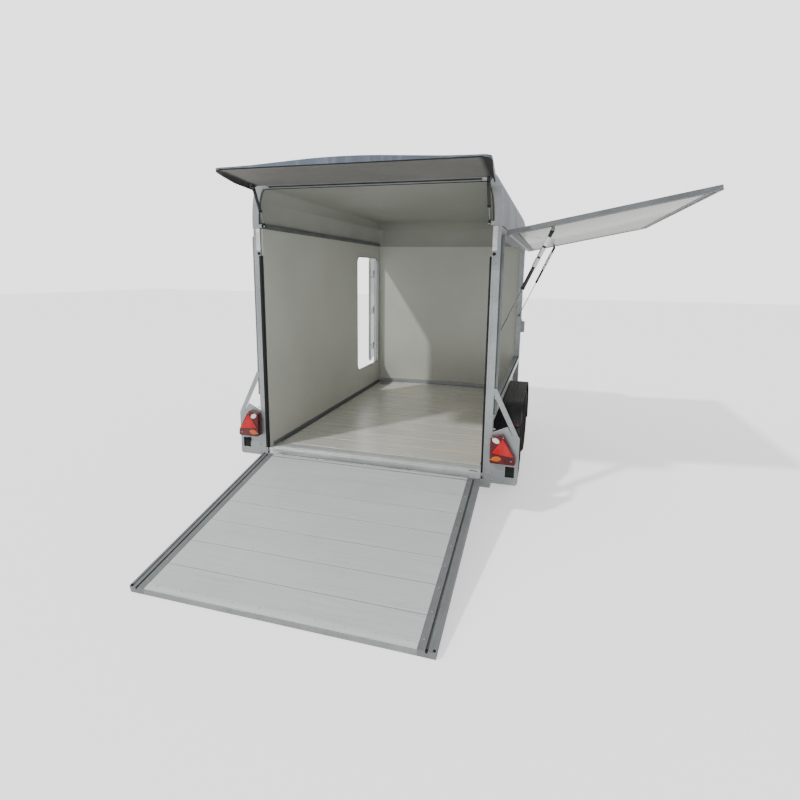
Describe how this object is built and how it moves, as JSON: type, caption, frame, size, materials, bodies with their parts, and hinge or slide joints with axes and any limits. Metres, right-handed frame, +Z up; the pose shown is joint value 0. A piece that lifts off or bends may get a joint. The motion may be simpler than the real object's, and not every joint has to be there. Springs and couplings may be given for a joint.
{
  "type": "enclosed box trailer",
  "caption": "Tandem-axle box trailer with a loading ramp, a rear canopy, a gull-wing side flap on gas struts, a side door and a jockey wheel.",
  "frame": {"origin": "on the ground under the middle of the overall box, with the ramp, flaps and door open as parked", "axes": "+X to the trailer's right, +Y forward to the coupling, +Z up"},
  "size_m": [3.031, 5.1588, 2.1853],
  "materials": {
    "galvanised": "hot-dip galvanised, satin with spangle",
    "planks": "mill-finish extruded planks, dull and scuffed",
    "laminate": "cream glossy laminate on plywood",
    "gelcoat": "glossy blue-grey polyester gelcoat",
    "black_plastic": "black textured plastic",
    "strut_rod": "polished rod",
    "rubber": "black rubber",
    "tyre": "matt black rubber",
    "rim": "silver paint",
    "lamp": "clear red lens"
  },
  "bodies": {
    "frame": {"side_member_left": "galvanised", "side_member_right": "galvanised", "middle_beam": "galvanised", "front_beam": "galvanised", "rear_beam": "galvanised", "floor": "planks", "threshold": "planks", "drawbar_left": "galvanised", "drawbar_right": "galvanised", "overrun_housing": "galvanised", "bellows": "rubber", "coupling_head": "galvanised", "handbrake_lever": "black_plastic", "jockey_tube": "galvanised", "axle_rear": "galvanised", "axle_front": "galvanised", "mudguard_left": "black_plastic", "mudguard_right": "black_plastic", "wall_left": "laminate", "side_sill_right": "laminate", "wall_front": "laminate", "rear_post_left": "galvanised", "rear_post_right": "galvanised", "front_post_left": "galvanised", "front_post_right": "galvanised", "eaves_rail_left": "galvanised", "eaves_rail_right": "galvanised", "roof": "gelcoat", "rear_hoop": "galvanised", "lamp_bracket_left": "galvanised", "lamp_left": "lamp", "lamp_bracket_right": "galvanised", "lamp_right": "lamp"},
    "ramp": {"ramp_deck": "planks", "ramp_rail_left": "galvanised", "ramp_rail_right": "galvanised"},
    "canopy": {"canopy": "gelcoat"},
    "side_flap": {"side_flap": "laminate"},
    "side_door": {"side_door": "laminate"},
    "jockey_leg": {"jockey_leg": "galvanised"},
    "jockey_fork": {"jockey_fork": "galvanised"},
    "jockey_wheel": {"jockey_wheel": "rubber"},
    "wheel_rear_left": {"rim_rear_left": "rim", "tyre_rear_left": "tyre"},
    "wheel_rear_right": {"rim_rear_right": "rim", "tyre_rear_right": "tyre"},
    "wheel_front_left": {"rim_front_left": "rim", "tyre_front_left": "tyre"},
    "wheel_front_right": {"rim_front_right": "rim", "tyre_front_right": "tyre"},
    "canopy_strut_left_tube": {"canopy_strut_left_tube": "black_plastic"},
    "canopy_strut_left_rod": {"canopy_strut_left_rod": "strut_rod"},
    "canopy_strut_right_tube": {"canopy_strut_right_tube": "black_plastic"},
    "canopy_strut_right_rod": {"canopy_strut_right_rod": "strut_rod"},
    "side_strut_rear_tube": {"side_strut_rear_tube": "black_plastic"},
    "side_strut_rear_rod": {"side_strut_rear_rod": "strut_rod"},
    "side_strut_front_tube": {"side_strut_front_tube": "black_plastic"},
    "side_strut_front_rod": {"side_strut_front_rod": "strut_rod"}
  },
  "joints": [
    {"name": "ramp_hinge", "type": "hinge", "parent": "frame", "child": "ramp", "pos_m": [-0.45216, -1.29063, 0.276], "axis": [-1, 0, 0], "range_deg": [0, 101.68]},
    {"name": "canopy_hinge", "type": "hinge", "parent": "frame", "child": "canopy", "pos_m": [-0.45216, -1.29463, 2.118], "axis": [1, 0, 0], "range_deg": [0, 94.5]},
    {"name": "side_flap_hinge", "type": "hinge", "parent": "frame", "child": "side_flap", "pos_m": [0.39384, -1.25663, 1.812], "axis": [0, 1, 0], "range_deg": [0, 101.4]},
    {"name": "side_door_hinge", "type": "hinge", "parent": "frame", "child": "side_door", "pos_m": [-1.28616, 1.17537, 0], "axis": [0, 0, 1], "range_deg": [0, 165]},
    {"name": "wheel_rear_left_spin", "type": "hinge", "parent": "frame", "child": "wheel_rear_left", "pos_m": [-0.45216, -0.55663, 0.29], "axis": [-1, 0, 0], "continuous": true},
    {"name": "wheel_rear_right_spin", "type": "hinge", "parent": "frame", "child": "wheel_rear_right", "pos_m": [-0.45216, -0.55663, 0.29], "axis": [-1, 0, 0], "continuous": true},
    {"name": "wheel_front_left_spin", "type": "hinge", "parent": "frame", "child": "wheel_front_left", "pos_m": [-0.45216, 0.14337, 0.29], "axis": [-1, 0, 0], "continuous": true},
    {"name": "wheel_front_right_spin", "type": "hinge", "parent": "frame", "child": "wheel_front_right", "pos_m": [-0.45216, 0.14337, 0.29], "axis": [-1, 0, 0], "continuous": true},
    {"name": "jockey_slide", "type": "slide", "parent": "frame", "child": "jockey_leg", "axis": [0, 0, 1], "range_m": [0, 0.15]},
    {"name": "jockey_swivel", "type": "hinge", "parent": "jockey_leg", "child": "jockey_fork", "pos_m": [-0.30813, 2.14337, 0], "axis": [0, 0, 1], "continuous": true},
    {"name": "jockey_wheel_spin", "type": "hinge", "parent": "jockey_fork", "child": "jockey_wheel", "pos_m": [-0.30813, 2.10337, 0.088], "axis": [-1, 0, 0], "continuous": true},
    {"name": "canopy_strut_left_turn", "type": "hinge", "parent": "canopy", "child": "canopy_strut_left_tube", "pos_m": [-1.20416, -1.35816, 2.10093], "axis": [1, 0, 0], "range_deg": [-111.3, 0]},
    {"name": "canopy_strut_left_slide", "type": "slide", "parent": "canopy_strut_left_tube", "child": "canopy_strut_left_rod", "axis": [0, -0.4579, 0.889], "range_m": [0, 0.07118]},
    {"name": "canopy_strut_right_turn", "type": "hinge", "parent": "canopy", "child": "canopy_strut_right_tube", "pos_m": [0.29984, -1.35816, 2.10093], "axis": [1, 0, 0], "range_deg": [-111.3, 0]},
    {"name": "canopy_strut_right_slide", "type": "slide", "parent": "canopy_strut_right_tube", "child": "canopy_strut_right_rod", "axis": [0, -0.4579, 0.889], "range_m": [0, 0.07118]},
    {"name": "side_strut_rear_turn", "type": "hinge", "parent": "side_flap", "child": "side_strut_rear_tube", "pos_m": [0.66523, -1.18463, 1.83204], "axis": [0, 1, 0], "range_deg": [-124.31, 0]},
    {"name": "side_strut_rear_slide", "type": "slide", "parent": "side_strut_rear_tube", "child": "side_strut_rear_rod", "axis": [0.412, 0, 0.9112], "range_m": [0, 0.35899]},
    {"name": "side_strut_front_turn", "type": "hinge", "parent": "side_flap", "child": "side_strut_front_tube", "pos_m": [0.66523, 1.11337, 1.83204], "axis": [0, 1, 0], "range_deg": [-124.31, 0]},
    {"name": "side_strut_front_slide", "type": "slide", "parent": "side_strut_front_tube", "child": "side_strut_front_rod", "axis": [0.412, 0, 0.9112], "range_m": [0, 0.35899]}
  ],
  "couplings": [
    {"joint": "canopy_strut_left_turn", "follows": "canopy_hinge", "ratio": -1.1755},
    {"joint": "canopy_strut_left_slide", "follows": "canopy_hinge", "m_per_rad": 0.043067},
    {"joint": "canopy_strut_right_turn", "follows": "canopy_hinge", "ratio": -1.1755},
    {"joint": "canopy_strut_right_slide", "follows": "canopy_hinge", "m_per_rad": 0.043067},
    {"joint": "side_strut_rear_turn", "follows": "side_flap_hinge", "ratio": -1.2235},
    {"joint": "side_strut_rear_slide", "follows": "side_flap_hinge", "m_per_rad": 0.20244},
    {"joint": "side_strut_front_turn", "follows": "side_flap_hinge", "ratio": -1.2235},
    {"joint": "side_strut_front_slide", "follows": "side_flap_hinge", "m_per_rad": 0.20244}
  ]
}
